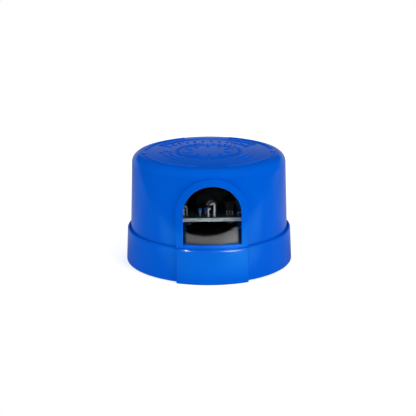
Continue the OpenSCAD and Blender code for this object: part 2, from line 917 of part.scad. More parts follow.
module varistor_leads() {
    color(steel_grey)
        varistor_legs();
}

// Two small dipped capacitors beside the sensor
module ceramic_capacitors() {
    color(bead_blue)
        difference() {
            for (at = bead_places)
                translate([at[0], at[1], board_top + at[2] + bead_d / 2])
                    rotate([0, 0, quarter_turn])
                        dipped_disc(bead_d, bead_t);
            bead_legs();
        }
}

// Legs that bend in under the small capacitors
module bead_legs() {
    for (at = bead_places)
        lying(at, quarter_turn)
            axial_leads(0, bead_pitch, board_top + at[2] + bead_d / 2);
}

module ceramic_capacitor_leads() {
    color(steel_grey)
        bead_legs();
}

// Upright resistor with its hairpin lead
module upright_resistor() {
    color(resistor_tan)
        translate([upright_at[0], upright_at[1], board_top])
            rotate_extrude()
                polygon(resistor_points(upright_d, upright_l));
}

// Lying resistor
module small_resistor() {
    color(resistor_tan)
        lying(small_at, quarter_turn)
            translate([-resistor_l / 2, 0, board_top + resistor_d / 2 + axial_gap])
                rotate([0, quarter_turn, 0])
                    rotate_extrude()
                        polygon(resistor_points(resistor_d, resistor_l));
}

// Larger lying resistor that drops the mains voltage
module dropping_resistor() {
    color(dropper_green)
        lying(dropper_at)
            translate([-dropper_l / 2, 0, board_top + dropper_d / 2 + axial_gap])
                rotate([0, quarter_turn, 0])
                    rotate_extrude()
                        polygon(resistor_points(dropper_d, dropper_l));
}

module resistor_leads() {
    hairpin_z = board_top + upright_l + hairpin_rise;
    color(steel_grey) {
        lead(upright_at, lead_low, board_top);
        lead(upright_at, board_top + upright_l, hairpin_z);
        translate([upright_at[0] + hairpin_r, upright_at[1], hairpin_z])
            rotate([quarter_turn, 0, 0])
                rotate_extrude(angle = half_turn)
                    translate([hairpin_r, 0])
                        circle(r = lead_r);
        lead(upright_at + [2 * hairpin_r, 0], lead_low, hairpin_z);
        lying(small_at, quarter_turn)
            axial_leads(resistor_l, small_pitch, board_top + resistor_d / 2 + axial_gap);
        lying(dropper_at)
            axial_leads(dropper_l, dropper_pitch, board_top + dropper_d / 2 + axial_gap);
    }
}

module rectifier_diodes() {
    color(case_black)
        for (d = diode_places)
            lying(d, d[2])
                lying_body(diode_d, diode_l, board_top + diode_d / 2 + axial_gap);
}

module signal_diode() {
    color(glass_orange)
        lying(glass_at)
            lying_body(glass_d, glass_l, board_top + glass_d / 2 + axial_gap);
}

module diode_leads() {
    color(steel_grey) {
        for (d = diode_places)
            lying(d, d[2])
                axial_leads(diode_l, diode_pitch, board_top + diode_d / 2 + axial_gap);
        lying(glass_at)
            axial_leads(glass_l, glass_pitch, board_top + glass_d / 2 + axial_gap);
    }
}

// Transistor with a flat face towards the window
module transistor_body() {
    flat_y = transistor_d * 0.3;
    color(case_black)
        translate([transistor_at[0], transistor_at[1], board_top + transistor_lift])
            intersection() {
                cylinder(d = transistor_d, h = transistor_h);
                translate([-transistor_d, -flat_y, 0])
                    cube([2 * transistor_d, 2 * transistor_d, transistor_h]);
            }
}

module transistor_leads() {
    color(steel_grey)
        leads(transistor_holes, board_top + transistor_lift);
}

cover();
window_lens();
base_plate();
gasket();
line_blade();
load_blade();
neutral_blade();
blade_rivets();
circuit_board();
board_screws();
sensor_body();
sensor_leads();
relay_case();
relay_pins();
film_capacitor();
film_capacitor_leads();
electrolytic_capacitor();
electrolytic_leads();
surge_varistor();
varistor_leads();
ceramic_capacitors();
ceramic_capacitor_leads();
upright_resistor();
small_resistor();
dropping_resistor();
resistor_leads();
rectifier_diodes();
signal_diode();
diode_leads();
transistor_body();
transistor_leads();
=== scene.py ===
import json
import math

import bmesh
import bpy
from mathutils import Matrix, Vector


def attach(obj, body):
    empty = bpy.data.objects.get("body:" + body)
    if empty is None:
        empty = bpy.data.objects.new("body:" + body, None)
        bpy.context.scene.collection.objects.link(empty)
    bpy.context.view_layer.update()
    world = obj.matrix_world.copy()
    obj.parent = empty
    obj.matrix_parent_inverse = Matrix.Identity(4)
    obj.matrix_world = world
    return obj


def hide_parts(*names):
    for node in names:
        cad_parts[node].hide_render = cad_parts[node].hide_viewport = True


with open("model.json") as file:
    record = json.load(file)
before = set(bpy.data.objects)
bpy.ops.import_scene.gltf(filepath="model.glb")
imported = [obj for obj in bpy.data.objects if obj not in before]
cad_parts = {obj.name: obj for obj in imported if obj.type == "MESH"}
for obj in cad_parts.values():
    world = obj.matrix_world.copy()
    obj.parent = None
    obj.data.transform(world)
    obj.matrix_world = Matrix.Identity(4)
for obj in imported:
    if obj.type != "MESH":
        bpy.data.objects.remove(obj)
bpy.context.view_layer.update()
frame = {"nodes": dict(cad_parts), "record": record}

MM = 0.001
NODES = frame["nodes"]
SCENE = bpy.context.scene
UP = Vector((0.0, 0.0, 1.0))
WHITE = (1.0, 1.0, 1.0, 1.0)
BLACK = (0.0, 0.0, 0.0, 1.0)
QUARTER = math.pi / 2
FRONT = -QUARTER

# Camera, fitted to the photograph with the image taken as 416 pixels square
IMAGE_PX = 416
CAMERA_ELEVATION = math.radians(16.12)
CAMERA_AZIMUTH = math.radians(-2.31)
CAMERA_ROLL = math.radians(-0.25)
CAMERA_DISTANCE = 0.6
CAMERA_TARGET = Vector((0.0, 0.0, 0.028))
CAMERA_FOCAL_PX = 1182.98
CAMERA_CENTRE_PX = (0.90, -4.57)
CAMERA_CLIP = 0.01
SENSOR_WIDTH = 36

# Soft boxes in metres: the place and the power in watts of each, then what they share
SOFT_BOXES = {
    "soft_box_right": ((0.38, -0.36, 0.28), 2.0),
    "soft_box_left": ((-0.46, -0.26, 0.26), 1.3),
    "soft_box_back": ((0.12, 0.5, 0.32), 0.6),
}
SOFT_BOX_AIM = (0.0, 0.0, 0.03)
SOFT_BOX_SIZE = (0.4, 0.4)

# Small gridded lamps for the glints below the window: millimetres across it with the power of each
GLINTS = {-12.5: 0.002, -10.5: 0.0015, 8.0: 0.01, 11.0: 0.011}
GLINT_TILT = math.radians(37)
GLINT_REACH = 0.3
GLINT_SIZE = (0.02, 0.02)
GLINT_SPREAD = math.radians(4)

# Ambient light, and what gloss sees far away: the directions between which each rises from none to all
AMBIENT = 0.5
BACKDROP_Y = (0.45, 0.85)
BACKDROP_Z = (0.305, 0.14)
BACKDROP_GLOW = 0.37
CEILING_Y = (0.3, -0.1)
CEILING_Z = (0.0, 0.5)
CEILING_GLOW = 0.1
BELOW_Z = (-0.4, -0.8)
BELOW_GLOW = 0.5

# Round white table in metres, with a hole inside the skirt, and where gloss sees it bright or shaded
TABLE_CENTRE = (0.015, 0.09)
TABLE_RADIUS = 0.222
TABLE_HOLE = 0.0416
TABLE_DROP = 0.00005
TABLE_STEPS = 128
TABLE_TONE = (0.85, 0.85, 0.85, 1.0)
TABLE_ROUGHNESS = 0.9
TABLE_GLOW = 0.45
GLOW_REACH = (0.17, 0.07)
HOT_SPOT = (0.05, -0.09, 0.0)
HOT_REACH = (0.05, 0.01)
HOT_GLOW = 1.4
SIDE_SHADE_Y = (-0.07, -0.038)
SIDE_SHADE = 0.88
BEHIND_Y = (0.0, 0.05)
BEHIND_EASE = 0.17

# Patterns of the finishes: scales in features per metre, gloss as shares of the roughness, depths in metres
EVEN = (1.0, 1.0, 1.0)
NOISE_DETAIL = 3.0
PATTERN_RANGE = (0.3, 0.7)
FLOW_SCALE = 60
PLASTIC_GLOSS_SCALE = 160
PLASTIC_GLOSS = (0.85, 1.2)
GRAIN_SCALE = 900
GRAIN_STRENGTH = 0.12
GRAIN_DEPTH = 0.00002
STREAK_SCALE = 300
METAL_GLOSS_SCALE = 900
METAL_GLOSS = (0.75, 1.35)
DRAWN_SCALE = 2400
DRAWN_STRENGTH = 0.15
DRAWN_DEPTH = 0.00001
CLEAR_GLOSS_SCALE = 220
CLEAR_GLOSS = (1.0, 2.0)
WAVE_SCALE = 120
WAVE_STRENGTH = 0.05
WAVE_DEPTH = 0.00001
FIBRE_SCALE = 900
FIBRE_STRETCH = (0.6, 0.6, 3.0)
UPRIGHT_WITHIN = 0.5
FOAM_SCALE = 1100
FOAM_RANGE = (0.1, 0.6)
FOAM_STRENGTH = 0.7
FOAM_DEPTH = 0.0002

# Gloss of the blue and black plastics, and the heights in metres between which painted shade darkens the
# blade tails under the board
COVER_GLOSS = 0.4
COVER_GLOSS_TINT = (0.06, 0.85, 1.0, 1.0)
BLACK_GLOSS = 0.12
TAIL_SHADE_HEIGHTS = (0.015, 0.019)

# Sizes of the cover in millimetres, as in the solids
SKIRT_R = 42.0
SKIRT_TOP_R = 41.3
SKIRT_IN_R = 39.1
SKIRT_H = 17.1
SEAT_Z = 14.9
RIM_ROUND = 0.4
LEDGE_ROUND = 0.8
FOOT_GROOVE_W = 0.6
FOOT_GROOVE_DEPTH = 0.7
DOME_LOW_R = 39.6
DOME_TOP_R = 38.5
SHOULDER_Z = 50.4
SHOULDER_R = 4.5
CROWN_SLOPE = math.radians(2)
COVER_WALL = 2.2
FRAME_HALF = 17.4
FRAME_PROUD = 1.9
WINDOW_HALF = 14.0
SILL_Z = 18.6
ARCH_Z = 33.6
POCKET_LAP = 1.5
POCKET_FRONT = -0.3
PANEL_R = 44.3
PANEL_TOP_R = 43.6
PANEL_IN_HALF = 15.2
PANEL_IN_R = 41.4
PANEL_BACK_R = 40.6
FLANGE_UNDER = 11.9
NUB_COUNT = 6
NUB_SPAN = math.radians(12)
NUB_REACH = 0.7
NUB_H = 1.8
NUB_SLOPE_H = 1.2
RIDGE_R = 32.2
RIDGE_W = 1.1
RIDGE_H = 0.5
RIDGE_FRONT_GAP = math.radians(26)
RIDGE_BACK_GAP = math.radians(42)
RIDGE_SIDE_GAP = math.radians(20)
DOT_R = 1.2
DOT_TURN = math.radians(4)

# Edges that are finer here than in the solids, in millimetres, and the tilt of the polished edge
FRAME_EDGE = 0.35
WINDOW_EDGE = 0.5
PANEL_EDGE = 0.45
GROOVE_EDGE = 0.15
MARK_EDGE = 0.12
FRAME_GROOVE_DEPTH = 0.2
EDGE_TILT = (0.1, 0.95)
SHARP_ANGLE = math.radians(38)

# Laps and margins in millimetres that keep the shapes clear of each other's faces and the shading even
SUPPORT = 0.06
SUPPORT_DRAFT = 0.05
BURIED = 0.8
POLE_R = 0.4
CROWN_IN_R = 4.0
POCKET_CORE = 1.0
POCKET_BACK = -4.4
POCKET_OVER = 0.3
FRAME_LAP = 0.3
PANEL_LIFT = 0.02
PANEL_MARGIN = 1.0
RECESS_BEHIND = 2.0
RECESS_BELOW = 1.0

# Steps along the curves and walls, with those of the arch and the sill as multiples of the window's sides
BODY_STEPS = 216
RIM_STEPS = 5
LEDGE_STEPS = 8
GROOVE_STEPS = 4
WALL_STEPS = 26
SHOULDER_STEPS = 16
CROWN_STEPS = 14
WALL_IN_STEPS = 20
SHOULDER_IN_STEPS = 8
CROWN_IN_STEPS = 8
WINDOW_STEPS = 14
ARCH_TIMES = 4
SILL_TIMES = 2
POCKET_STEPS = 11
POCKET_ROWS = 6
FRAME_EDGE_STEPS = 7
WINDOW_EDGE_STEPS = 5
PANEL_STEPS = 26
PANEL_EDGE_STEPS = 6
RECESS_STEPS = 24
NUB_STEPS = 7
ARC_STEPS = 36
DOT_STEPS = 28
MARK_EDGE_STEPS = 4
HEAD_STEPS = 6
TICK_STEPS = 3
NUMBER_STEPS = 3

# Generic marks on the top, in millimetres
MARK_H = 0.35
LINE_W = 0.6
ARROW_R = 21.5
ARROW_HALF = 1.5
ARROW_RIGHT = math.radians(-50)
ARROW_LEFT = math.radians(176)
ARROW_SPAN = math.radians(54)
ARROW_HEAD = math.radians(9)
HEAD_START = 0.15
SHAFT_END = 0.9
TICK_R = 27.5
TICK_SHORT = 1.6
TICK_LONG = 3.4
TICK_STEP = math.radians(3)
TICK_COUNT = 20
TICK_GROUP = 5
CAP_HEIGHT = 0.7
NUMBER_MERGE = 0.0012
MONTH_R = 21.8
MONTH_H = 2.7
MONTH_SPAN = math.radians(62)
MONTHS = 12
DAY_R = 15.6
DAY_H = 1.9
DAYS = 31
YEAR_R = 9.6
YEAR_H = 2.9
YEARS = 10
DIAL_RING_R = 12.8
DIAL_RING_W = 0.35
DIAL_GAP = math.radians(3)

# Crowned top that follows from the sizes above
CROWN_EDGE_R = DOME_TOP_R - SHOULDER_R + SHOULDER_R * math.sin(CROWN_SLOPE)
CROWN_EDGE_Z = SHOULDER_Z + SHOULDER_R * math.cos(CROWN_SLOPE)
CROWN_R = CROWN_EDGE_R / math.sin(CROWN_SLOPE)
CROWN_CENTRE_Z = CROWN_EDGE_Z - CROWN_R * math.cos(CROWN_SLOPE)


def srgb(red, green, blue):
    """Linear colour of three display values from 0 to 255."""
    def channel(value):
        part = value / 255
        if part <= 0.04045:
            return part / 12.92
        return ((part + 0.055) / 1.055) ** 2.4
    return (channel(red), channel(green), channel(blue), 1.0)


def make_camera():
    """Camera at the photograph's viewing angle."""
    back = Vector((math.sin(CAMERA_AZIMUTH) * math.cos(CAMERA_ELEVATION),
                   -math.cos(CAMERA_AZIMUTH) * math.cos(CAMERA_ELEVATION),
                   math.sin(CAMERA_ELEVATION)))
    side = (-back).cross(UP).normalized()
    over = side.cross(-back)
    right = math.cos(CAMERA_ROLL) * side + math.sin(CAMERA_ROLL) * over
    upright = -math.sin(CAMERA_ROLL) * side + math.cos(CAMERA_ROLL) * over
    turn = Matrix((right, upright, back)).transposed().to_4x4()
    data = bpy.data.cameras.new("camera")
    data.sensor_width = SENSOR_WIDTH
    data.lens = SENSOR_WIDTH * CAMERA_FOCAL_PX / IMAGE_PX
    data.shift_x = -CAMERA_CENTRE_PX[0] / IMAGE_PX
    data.shift_y = CAMERA_CENTRE_PX[1] / IMAGE_PX
    data.clip_start = CAMERA_CLIP
    camera = bpy.data.objects.new("camera", data)
    camera.matrix_world = Matrix.Translation(CAMERA_TARGET + back * CAMERA_DISTANCE) @ turn
    SCENE.collection.objects.link(camera)
    SCENE.camera = camera


def smooth_step(tree, value, low, high):
    """A value from 0 to 1 as an input passes from one bound to another."""
    made = tree.nodes.new("ShaderNodeMapRange")
    made.interpolation_type = "SMOOTHSTEP"
    made.inputs["From Min"].default_value = low
    made.inputs["From Max"].default_value = high
    tree.links.new(value, made.inputs["Value"])
    return made.outputs["Result"]


def calculate(tree, operation, first, second=0.0):
    """Arithmetic on one or two shader values."""
    made = tree.nodes.new("ShaderNodeMath")
    made.operation = operation
    for socket, value in zip(made.inputs, (first, second)):
        if isinstance(value, float):
            socket.default_value = value
        else:
            tree.links.new(value, socket)
    return made.outputs["Value"]


def product(tree, first, *others):
    """Product of shader values."""
    for other in others:
        first = calculate(tree, "MULTIPLY", first, other)
    return first


class Finish:
    """A procedural material: one Principled shader with patterns for colour, roughness and bump."""

    def __init__(self, name, colour, roughness, metallic=0.0, ior=1.5):
        self.name = name
        self.material = bpy.data.materials.new(name)
        self.material.use_nodes = True
        self.tree = self.material.node_tree
        self.shader = self.tree.nodes["Principled BSDF"]
        self.set("Base Color", colour)
        self.set("Roughness", roughness)
        self.set("Metallic", metallic)
        self.set("IOR", ior)
        self.place = self.node("ShaderNodeTexCoord").outputs["Object"]
        self.colour = None

    def set(self, socket, value):
        """Sets a constant on the shader's own socket."""
        self.shader.inputs[socket].default_value = value

    def node(self, kind, **settings):
        """New node with its settings."""
        made = self.tree.nodes.new(kind)
        for key, value in settings.items():
            setattr(made, key, value)
        return made

    def link(self, source, target):
        """Link from an output to an input."""
        self.tree.links.new(source, target)

    def split(self, vector):
        """Parts of a vector."""
        made = self.node("ShaderNodeSeparateXYZ")
        self.link(vector, made.inputs["Vector"])
        return made.outputs

    def noise(self, scale, stretch=EVEN):
        """Noise over the piece, with its scale in features per metre."""
        mapping = self.node("ShaderNodeMapping")
        mapping.inputs["Scale"].default_value = stretch
        self.link(self.place, mapping.inputs["Vector"])
        made = self.node("ShaderNodeTexNoise")
        made.inputs["Scale"].default_value = scale
        made.inputs["Detail"].default_value = NOISE_DETAIL
        self.link(mapping.outputs["Vector"], made.inputs["Vector"])
        return made.outputs["Fac"]

    def cells(self, scale):
        """Small round cells over the piece."""
        made = self.node("ShaderNodeTexVoronoi")
        made.inputs["Scale"].default_value = scale
        self.link(self.place, made.inputs["Vector"])
        return made.outputs["Distance"]

    def tones(self, pattern, low, high, bounds=PATTERN_RANGE):
        """Colour that runs between two tones with a pattern."""
        ramp = self.node("ShaderNodeValToRGB")
        for stop, position, colour in zip(ramp.color_ramp.elements, bounds, (low, high)):
            stop.position = position
            stop.color = colour
        self.link(pattern, ramp.inputs["Fac"])
        return ramp.outputs["Color"]

    def mixed(self, share, low, high):
        """Colour that goes from one to another with a share; each is an output or a constant."""
        mix = self.node("ShaderNodeMix", data_type="RGBA")
        self.link(share, mix.inputs["Factor"])
        for socket, colour in (("A", low), ("B", high)):
            if isinstance(colour, tuple):
                mix.inputs[socket].default_value = colour
            else:
                self.link(colour, mix.inputs[socket])
        return mix.outputs["Result"]

    def paint(self, colour):
        """Gives the surface a colour from an output."""
        self.colour = colour
        self.link(colour, self.shader.inputs["Base Color"])

    def cut_edge(self, low, high):
        """Pale cut edge with fibres, where the surface stands upright."""
        facing = self.node("ShaderNodeNewGeometry").outputs["True Normal"]
        upright = self.node("ShaderNodeMath", operation="COMPARE")
        self.link(self.split(facing)["Z"], upright.inputs[0])
        upright.inputs[1].default_value = 0.0
        upright.inputs[2].default_value = UPRIGHT_WITHIN
        fibres = self.tones(self.noise(FIBRE_SCALE, FIBRE_STRETCH), low, high)
        self.paint(self.mixed(upright.outputs["Value"], self.colour, fibres))

    def tarnish(self, heights, colour):
        """Painted shade: a darker colour that takes over between two heights in metres."""
        share = smooth_step(self.tree, self.split(self.place)["Z"], *heights)
        self.paint(self.mixed(share, self.colour, colour))

    def vary_roughness(self, pattern, roughness, shares):
        """Roughness that runs between two shares of a value with a pattern."""
        made = self.node("ShaderNodeMapRange")
        made.inputs["From Min"].default_value = PATTERN_RANGE[0]
        made.inputs["From Max"].default_value = PATTERN_RANGE[1]
        made.inputs["To Min"].default_value = roughness * shares[0]
        made.inputs["To Max"].default_value = roughness * shares[1]
        self.link(pattern, made.inputs["Value"])
        self.link(made.outputs["Result"], self.shader.inputs["Roughness"])

    def bump(self, pattern, strength, depth):
        """Relief from a pattern, with its depth in metres."""
        made = self.node("ShaderNodeBump")
        made.inputs["Strength"].default_value = strength
        made.inputs["Distance"].default_value = depth
        self.link(pattern, made.inputs["Height"])
        self.link(made.outputs["Normal"], self.shader.inputs["Normal"])


def plastic(name, low, high, roughness, grain=GRAIN_SCALE, depth=GRAIN_DEPTH):
    """Moulded plastic with faint flow marks, uneven gloss and a fine moulded grain."""
    made = Finish(name, high, roughness)
    made.paint(made.tones(made.noise(FLOW_SCALE), low, high))
    made.vary_roughness(made.noise(PLASTIC_GLOSS_SCALE), roughness, PLASTIC_GLOSS)
    made.bump(made.noise(grain), GRAIN_STRENGTH, depth)
    return made


def metal(name, low, high, roughness, metallic=1.0, stretch=EVEN):
    """Metal with drawn or rolled streaks and a slightly uneven, dulled tone."""
    made = Finish(name, high, roughness, metallic=metallic)
    made.paint(made.tones(made.noise(STREAK_SCALE, stretch), low, high))
    made.vary_roughness(made.noise(METAL_GLOSS_SCALE, stretch), roughness, METAL_GLOSS)
    made.bump(made.noise(DRAWN_SCALE, stretch), DRAWN_STRENGTH, DRAWN_DEPTH)
    return made


def clear(name, tint, roughness, ior):
    """Clear plastic with faint unevenness."""
    made = Finish(name, tint, roughness, ior=ior)
    made.set("Transmission Weight", 1.0)
    made.vary_roughness(made.noise(CLEAR_GLOSS_SCALE), roughness, CLEAR_GLOSS)
    made.bump(made.noise(WAVE_SCALE), WAVE_STRENGTH, WAVE_DEPTH)
    return made


def foam(name, low, high, roughness):
    """Closed-cell foam."""
    made = Finish(name, high, roughness)
    made.paint(made.tones(made.cells(FOAM_SCALE), low, high, FOAM_RANGE))
    made.bump(made.cells(FOAM_SCALE), FOAM_STRENGTH, FOAM_DEPTH)
    return made


def cover_plastic(name):
    """The cover's glossy blue plastic."""
    made = plastic(name, srgb(0, 88, 206), srgb(0, 92, 212), roughness=0.1, grain=1400, depth=0.000004)
    made.set("Specular IOR Level", COVER_GLOSS)
    return made


def make_finishes():
    """Finishes of the record's material slots, of the polished edge and of the sensor's frame."""
    finishes = (
        cover_plastic("cover_blue"),
        cover_plastic("polished_edge"),
        clear("lens_clear", srgb(244, 248, 250), roughness=0.015, ior=1.49),
        plastic("base_black", srgb(24, 24, 26), srgb(32, 32, 35), roughness=0.42, depth=0.00001),
        foam("gasket_foam", srgb(22, 22, 24), srgb(52, 52, 56), roughness=0.85),
        metal("blade_brass", srgb(196, 158, 84), srgb(222, 188, 112), roughness=0.28, metallic=0.7,
              stretch=(1.0, 1.0, 0.15)),
        metal("plated_steel", srgb(176, 178, 182), srgb(206, 208, 210), roughness=0.3),
        metal("tinned_lead", srgb(150, 152, 156), srgb(190, 192, 196), roughness=0.34, metallic=0.5),
        metal("silver_frame", srgb(246, 246, 248), srgb(255, 255, 255), roughness=0.45, metallic=0.0),
        plastic("board_green", srgb(26, 40, 38), srgb(36, 54, 51), roughness=0.38),
        clear("epoxy_clear", srgb(248, 250, 252), roughness=0.01, ior=1.5),
        # relay_black is darker than plain black plastic: partly its own black, partly painted shade for the
        # dark inside of the cover
        plastic("relay_black", srgb(5, 5, 6), srgb(9, 9, 10), roughness=0.3),
        plastic("film_yellow", srgb(214, 164, 52), srgb(228, 178, 64), roughness=0.35),
        plastic("can_sleeve", srgb(18, 18, 24), srgb(26, 26, 34), roughness=0.28),
        plastic("varistor_blue", srgb(26, 52, 112), srgb(36, 66, 132), roughness=0.4, depth=0.00004),
        plastic("ceramic_blue", srgb(18, 92, 168), srgb(36, 124, 196), roughness=0.3, depth=0.00003),
        plastic("resistor_tan", srgb(150, 132, 104), srgb(172, 152, 122), roughness=0.4),
        plastic("dropper_green", srgb(96, 122, 112), srgb(118, 144, 132), roughness=0.4),
        # moulded_black is darker than plain black plastic: partly its own black, partly painted shade for
        # the dark inside of the cover
        plastic("moulded_black", srgb(8, 8, 9), srgb(13, 13, 14), roughness=0.45, depth=0.00003),
        plastic("diode_glass", srgb(196, 96, 40), srgb(226, 132, 66), roughness=0.15),
    )
    made = {finish.name: finish for finish in finishes}
    made["cover_blue"].set("Specular Tint", COVER_GLOSS_TINT)
    # painted shade: the brass blade tails go dark brown above the base, where they stand in the shade under
    # the board
    made["blade_brass"].tarnish(TAIL_SHADE_HEIGHTS, srgb(40, 36, 30))
    made["board_green"].cut_edge(srgb(120, 132, 132), srgb(178, 186, 186))
    for black in ("relay_black", "moulded_black"):
        made[black].set("Specular IOR Level", BLACK_GLOSS)
    return made


def dress_nodes(finishes):
    """Gives each CAD node the finish of its material slot, and the sensor's leads a paler one."""
    slots = {part["node"]: part["material_slot"] for part in frame["record"]["subparts"]}
    slots["sensor_leads"] = "silver_frame"
    for name, slot in slots.items():
        materials = NODES[name].data.materials
        materials.clear()
        materials.append(finishes[slot].material)


class Skin:
    """Points in millimetres and faces that become one mesh."""

    def __init__(self):
        self.points = []
        self.faces = []

    def grid(self, rows, ring=False):
        """Faces between closed rows of points; ring joins the last row to the first."""
        start = len(self.points)
        width = len(rows[0])
        for row in rows:
            self.points.extend(row)
        for i in range(len(rows) if ring else len(rows) - 1):
            low = start + i * width
            high = start + (i + 1) % len(rows) * width
            for j in range(width):
                k = (j + 1) % width
                self.faces.append([low + j, low + k, high + k, high + j])
        return start

    def drum(self, rows):
        """Closed rows with a face over the first and the last."""
        start = self.grid(rows)
        width = len(rows[0])
        last = start + (len(rows) - 1) * width
        self.faces.append(list(range(start, start + width))[::-1])
        self.faces.append(list(range(last, last + width)))

    def build(self, name):
        """The mesh object."""
        mesh = bpy.data.meshes.new(name)
        mesh.from_pydata([Vector(p) * MM for p in self.points], [], self.faces)
        made = bpy.data.objects.new(name, mesh)
        SCENE.collection.objects.link(made)
        return made


def face_out(piece):
    """Turns the faces of closed meshes outwards."""
    shape = bmesh.new()
    shape.from_mesh(piece.data)
    bmesh.ops.recalc_face_normals(shape, faces=shape.faces)
    shape.to_mesh(piece.data)
    shape.free()


def finished_mesh(piece):
    """Mesh of an object with its modifiers or its curves worked out."""
    SCENE.view_layers[0].update()
    graph = bpy.context.evaluated_depsgraph_get()
    return bpy.data.meshes.new_from_object(piece.evaluated_get(graph))


def combine(body, tool, operation):
    """Adds a closed mesh to another or cuts it away, and removes the tool."""
    face_out(tool)
    change = body.modifiers.new("combine", "BOOLEAN")
    change.solver = "EXACT"
    change.operation = operation
    change.object = tool
    result = finished_mesh(body)
    body.modifiers.clear()
    body.data = result
    bpy.data.objects.remove(tool)


def smooth(piece, finish):
    """Smooth shading except at sharp edges, and the piece's finish."""
    mesh = piece.data
    mesh.shade_smooth()
    mesh.set_sharp_from_angle(angle=SHARP_ANGLE)
    mesh.materials.clear()
    mesh.materials.append(finish.material)


def spread(start, end, steps):
    """Evenly spaced values from start to end."""
    return [start + (end - start) * i / steps for i in range(steps + 1)]


def full_turn(steps):
    """Evenly spaced angles all round."""
    return spread(0, math.tau, steps)[:-1]


def polar(r, angle):
    """Point at a radius and an angle."""
    return (r * math.cos(angle), r * math.sin(angle))


def arc(centre, radius, start, end, steps):
    """Points of an arc in a half profile."""
    return [
        (centre[0] + radius * math.cos(a), centre[1] + radius * math.sin(a))
        for a in spread(start, end, steps)
    ]


def turned(profile, angles):
    """Rows of a half profile turned about the axis."""
    return [[(*polar(r, a), z) for a in angles] for r, z in profile]


def dome_r(z):
    """Radius of the drafted dome at a height."""
    return DOME_LOW_R - (DOME_LOW_R - DOME_TOP_R) * (z - SKIRT_H) / (SHOULDER_Z - SKIRT_H)


def crown_z(r):
    """Height of the crowned top at a radius."""
    return CROWN_CENTRE_Z + math.sqrt(CROWN_R ** 2 - r ** 2)


def on_front(x, z, r):
    """Point on a round front of a radius."""
    return (x, -math.sqrt(r * r - x * x), z)


def window_loop(grow, proud, steps=WINDOW_STEPS):
    """Loop round the window, grown by a distance and set out from the dome."""
    half = WINDOW_HALF + grow
    sill = SILL_Z - grow
    outline = [(-half, z) for z in spread(sill, ARCH_Z, steps)]
    outline += arc((0, ARCH_Z), half, math.pi, 0, ARCH_TIMES * steps)[1:]
    outline += [(half, z) for z in spread(ARCH_Z, sill, steps)[1:]]
    outline += [(x, sill) for x in spread(half, -half, SILL_TIMES * steps)[1:-1]]
    return [on_front(x, z, dome_r(z) + proud) for x, z in outline]


def ledge_profile(low_r, top_r):
    """Rim, drafted wall and rounded upper edge of the skirt or the panel, from below."""
    draft = SUPPORT * SUPPORT_DRAFT
    ledge = SKIRT_H - LEDGE_ROUND
    profile = arc((low_r - RIM_ROUND, RIM_ROUND), RIM_ROUND, -QUARTER, 0, RIM_STEPS)
    profile += [(low_r - draft, RIM_ROUND + SUPPORT), ((low_r + top_r) / 2, SKIRT_H / 2)]
    profile += [(top_r + draft, ledge - SUPPORT)]
    profile += arc((top_r - LEDGE_ROUND, ledge), LEDGE_ROUND, 0, QUARTER, LEDGE_STEPS)
    return profile


def groove_profile(foot_r, depth):
    """Groove with a rounded lip at the foot of a wall, from its outer side in."""
    lip = foot_r + FOOT_GROOVE_W + GROOVE_EDGE
    low = SKIRT_H - depth
    rounding = arc((lip, SKIRT_H - GROOVE_EDGE), GROOVE_EDGE, QUARTER, math.pi, GROOVE_STEPS)
    return rounding + [(lip - GROOVE_EDGE, low), (foot_r, low)]


def make_body():
    """Turned shell of the skirt, the dome and its crown."""
    shoulder = (DOME_TOP_R - SHOULDER_R, SHOULDER_Z)
    tangent = QUARTER - CROWN_SLOPE
    inner = [(POLE_R, crown_z(POLE_R) - COVER_WALL)]
    inner += [(r, crown_z(r) - COVER_WALL) for r in spread(CROWN_IN_R, CROWN_EDGE_R, CROWN_IN_STEPS)]
    inner += arc(shoulder, SHOULDER_R - COVER_WALL, tangent, 0, SHOULDER_IN_STEPS)[1:]
    inner += [(dome_r(z) - COVER_WALL, z) for z in spread(SHOULDER_Z, SEAT_Z, WALL_IN_STEPS)[1:]]
    inner += [(SKIRT_IN_R, SEAT_Z), (SKIRT_IN_R, 0)]
    outer = ledge_profile(SKIRT_R, SKIRT_TOP_R) + groove_profile(DOME_LOW_R, FOOT_GROOVE_DEPTH)
    outer += [(dome_r(z), z) for z in spread(SKIRT_H, SHOULDER_Z - SUPPORT, WALL_STEPS)]
    outer += arc(shoulder, SHOULDER_R, 0, tangent, SHOULDER_STEPS)
    outer += [(r, crown_z(r)) for r in spread(CROWN_EDGE_R - SUPPORT, POLE_R, CROWN_STEPS)]
    skin = Skin()
    skin.drum(turned(inner + outer, full_turn(BODY_STEPS)))
    return skin.build("cover_shell")


def make_pocket():
    """Tool that cuts the lens pocket through the dome's wall."""
    shrink = spread(POCKET_LAP, POCKET_CORE - WINDOW_HALF, POCKET_ROWS)
    rows = [window_loop(grow, POCKET_BACK, POCKET_STEPS) for grow in shrink[::-1]]
    rows += [window_loop(grow, POCKET_OVER, POCKET_STEPS) for grow in shrink]
    skin = Skin()
    skin.drum(rows)
    return skin.build("pocket_tool")


def make_frame():
    """Raised window frame with rounded edges; its back lies in the dome's wall."""
    width = FRAME_HALF - WINDOW_HALF
    edge = FRAME_PROUD - FRAME_EDGE
    opening = FRAME_PROUD - WINDOW_EDGE
    lap = POCKET_LAP + FRAME_LAP
    section = [(width, -BURIED), (width, edge - SUPPORT)]
    section += arc((width - FRAME_EDGE, edge), FRAME_EDGE, 0, QUARTER, FRAME_EDGE_STEPS)
    section += [(width - FRAME_EDGE - SUPPORT, FRAME_PROUD), (WINDOW_EDGE + SUPPORT, FRAME_PROUD)]
    section += arc((WINDOW_EDGE, opening), WINDOW_EDGE, QUARTER, math.pi, WINDOW_EDGE_STEPS)
    section += [(0, opening - SUPPORT), (0, POCKET_FRONT), (lap, POCKET_FRONT), (lap, -BURIED)]
    skin = Skin()
    skin.grid([window_loop(grow, proud) for grow, proud in section], ring=True)
    return skin.build("frame_tool")


